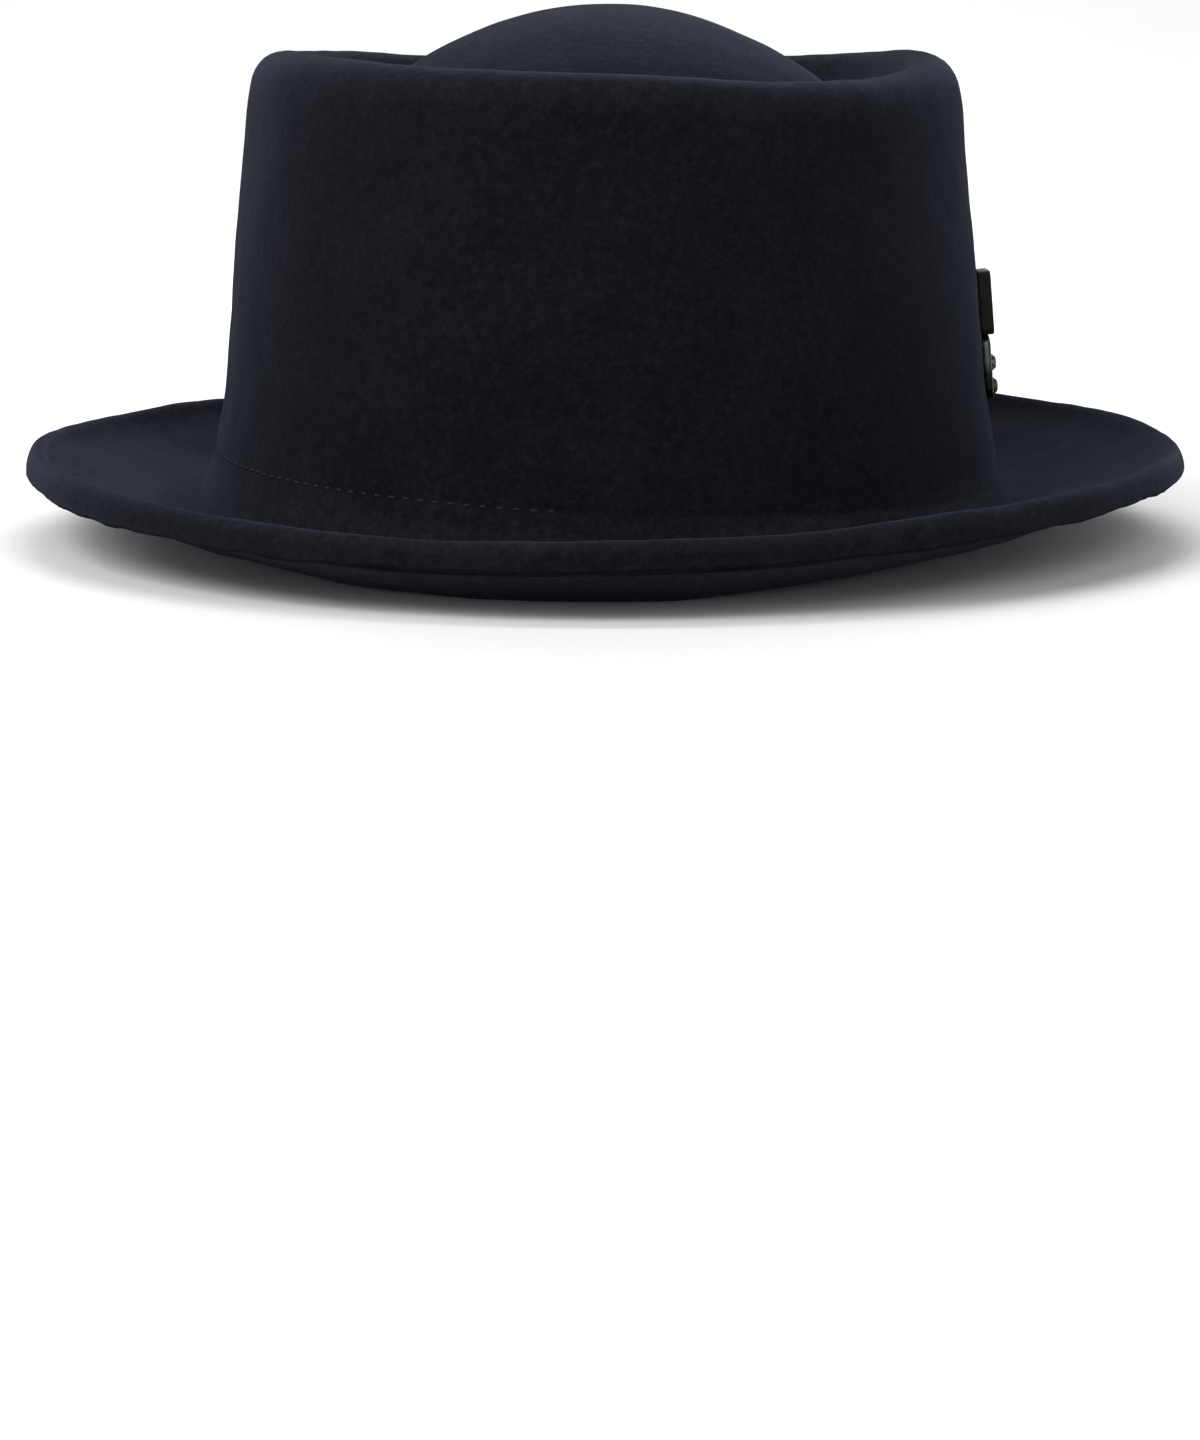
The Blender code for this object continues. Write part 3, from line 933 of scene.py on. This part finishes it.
def metal_material(name, metal, darker_below=None):
    """Worn metal, darker below a height where that is given."""
    dark, light, low_rough, high_rough = metal
    material, tree, shader = principled(name)
    worn = object_noise(tree, *METAL_WEAR)
    colour = ramp(tree, worn, list(zip(METAL_PLACES, (dark, light))))
    if darker_below:
        colour = multiply(tree, colour, darker_below_tone(tree, *darker_below))
    tree.links.new(colour, shader.inputs["Base Color"])
    rough = grey_ramp(tree, worn, list(zip(METAL_ROUGH_PLACES, (low_rough, high_rough))))
    tree.links.new(rough, shader.inputs["Roughness"])
    finish(shader, Metallic=1.0)
    tree.links.new(bump(tree, worn, *METAL_BUMP), shader.inputs["Normal"])
    return material


ENAMEL_CLOUDS = (400, 3.0, 0.5)
ENAMEL_STOPS = ((0.35, (0.0075, 0.0070, 0.0064)), (0.65, (0.0130, 0.0124, 0.0116)))
ENAMEL_BUMP = (0.1, 0.0001)


def enamel_material():
    """Dull dark enamel."""
    material, tree, shader = principled("enamel_dark")
    cloud = object_noise(tree, *ENAMEL_CLOUDS)
    tree.links.new(ramp(tree, cloud, ENAMEL_STOPS), shader.inputs["Base Color"])
    finish(shader, Roughness=0.55, Specular_IOR_Level=0.12)
    tree.links.new(bump(tree, cloud, *ENAMEL_BUMP), shader.inputs["Normal"])
    return material


FLOOR_SIZE = 6.0
WALL_AT = 2.4
WALL_BEND = 0.8
WALL_BEND_STEPS = 12
WALL_TOP = 3.0
PAPER_CLOUDS = (3, 2.0, 0.5)
PAPER_STOPS = ((0.3, 0.88), (0.7, 0.91))


def floor_material():
    """Matt white paper."""
    material, tree, shader = principled("floor_paper")
    colour = grey_ramp(tree, object_noise(tree, *PAPER_CLOUDS), PAPER_STOPS)
    tree.links.new(colour, shader.inputs["Base Color"])
    finish(shader, Roughness=0.9, Specular_IOR_Level=0.1)
    return material


def make_floor():
    """A pale sweep: floor, bend and wall in one sheet."""
    profile = [(-FLOOR_SIZE / 2, 0.0), (WALL_AT - WALL_BEND, 0.0)]
    for step in range(1, WALL_BEND_STEPS + 1):
        bend = math.radians(90 * step / WALL_BEND_STEPS)
        profile.append((
            WALL_AT - WALL_BEND + WALL_BEND * math.sin(bend),
            WALL_BEND * (1 - math.cos(bend)),
        ))
    profile.append((WALL_AT, WALL_TOP))
    vertices = []
    for y, z in profile:
        vertices += [(-FLOOR_SIZE / 2, y, z), (FLOOR_SIZE / 2, y, z)]
    faces = [(2 * i, 2 * i + 1, 2 * i + 3, 2 * i + 2) for i in range(len(profile) - 1)]
    sweep = new_object("floor_sweep", vertices, faces, floor_material())


def add_area_light(name, place, target, size, power):
    """A rectangular lamp at a place, turned to its target."""
    data = bpy.data.lights.new(name, "AREA")
    data.shape = "RECTANGLE"
    data.size, data.size_y = size
    data.energy = power
    lamp = bpy.data.objects.new(name, data)
    bpy.context.scene.collection.objects.link(lamp)
    lamp.location = place
    aim = Vector(target) - Vector(place)
    lamp.rotation_euler = aim.to_track_quat("-Z", "Y").to_euler()


# Studio softboxes round the hat: name, bearing from the camera's side, height angle, watts
SOFTBOXES = (
    ("front_low", 0, 12, 6.74),
    ("key_left", -45, 40, 15.24),
    ("fill_right", 45, 40, 5.77),
    ("left_high", -90, 40, 4.14),
    ("left_low", -90, 12, 4.87),
    ("right_low", 90, 12, 4.61),
    ("back_mid", 180, 40, 8.04),
    ("back_high", 180, 65, 3.04),
)
SOFTBOX_SIZE = (1.0, 0.9)
SOFTBOX_DISTANCE = 1.6
LIGHT_TARGET = Vector((0.0, 0.0, 0.05))
WALL_LIGHT_AT = (0.0, 0.6, 1.9)
WALL_LIGHT_TARGET = (0.0, 2.3, 0.7)
WALL_LIGHT_SIZE = (2.4, 0.6)
WALL_LIGHT_WATTS = 40.6
BACKDROP_COLOUR = (0.9, 0.9, 0.9, 1.0)


def make_world():
    """A pale backdrop that the camera sees past the sweep, and that lights nothing."""
    world = bpy.data.worlds.new("dark_studio")
    world.use_nodes = True
    bpy.context.scene.world = world
    tree = world.node_tree
    backdrop = tree.nodes["Background"]
    backdrop.inputs["Color"].default_value = BACKDROP_COLOUR
    path = tree.nodes.new("ShaderNodeLightPath")
    tree.links.new(path.outputs["Is Camera Ray"], backdrop.inputs["Strength"])


def make_lights():
    """Softboxes round the hat, and one lamp for the wall behind it."""
    for name, bearing, rise, watts in SOFTBOXES:
        turn = math.radians(bearing)
        tilt = math.radians(rise)
        level = math.cos(tilt)
        way = Vector((level * math.sin(turn), -level * math.cos(turn), math.sin(tilt)))
        place = LIGHT_TARGET + way * SOFTBOX_DISTANCE
        add_area_light(name, place, LIGHT_TARGET, SOFTBOX_SIZE, watts)
    add_area_light(
        "wall_light", WALL_LIGHT_AT, WALL_LIGHT_TARGET, WALL_LIGHT_SIZE, WALL_LIGHT_WATTS
    )


def make_camera():
    """The camera as the photograph was taken."""
    data = bpy.data.cameras.new("photo_camera")
    data.sensor_width = SENSOR_MM
    data.lens = FOCAL_PX / IMAGE_SIZE[1] * SENSOR_MM
    data.shift_x = -CENTRE_SHIFT_PX / IMAGE_SIZE[1]
    data.clip_start = NEAREST_SEEN
    camera = bpy.data.objects.new("photo_camera", data)
    bpy.context.scene.collection.objects.link(camera)
    camera.location = CAMERA_AT
    camera.rotation_euler = (math.pi / 2 - CAMERA_PITCH, 0, 0)
    bpy.context.scene.camera = camera


def main():
    """Builds the studio and the hat in it."""
    bpy.context.scene.view_settings.view_transform = "Standard"
    make_camera()
    make_world()
    make_lights()
    make_floor()
    # Upper and lower faces of the felt, each with its own painted light and shade
    above = felt_material("felt_navy", "shading_paint_above", ABOVE_TINT, SHEEN_WEIGHT)
    below = felt_material("felt_navy_below", "shading_paint_below", BELOW_TINT, BELOW_SHEEN_WEIGHT)
    thread = thread_material()
    steel = metal_material("steel_dark", STEEL)
    bar_steel = metal_material("steel_darker_below", BAR_STEEL, BAR_DARKER_BELOW)
    brass = metal_material("brass_dark", BRASS)
    make_felt(above, below)
    make_sweatband(leather_material())
    make_stitches("crown_stitches", 0.0, 1, thread)
    band_face = -(FELT + SEAT_GAP + BAND_THICKNESS)
    make_stitches("band_stitches", band_face, -1, thread)
    make_badge(enamel_material(), steel, bar_steel, brass)


main()
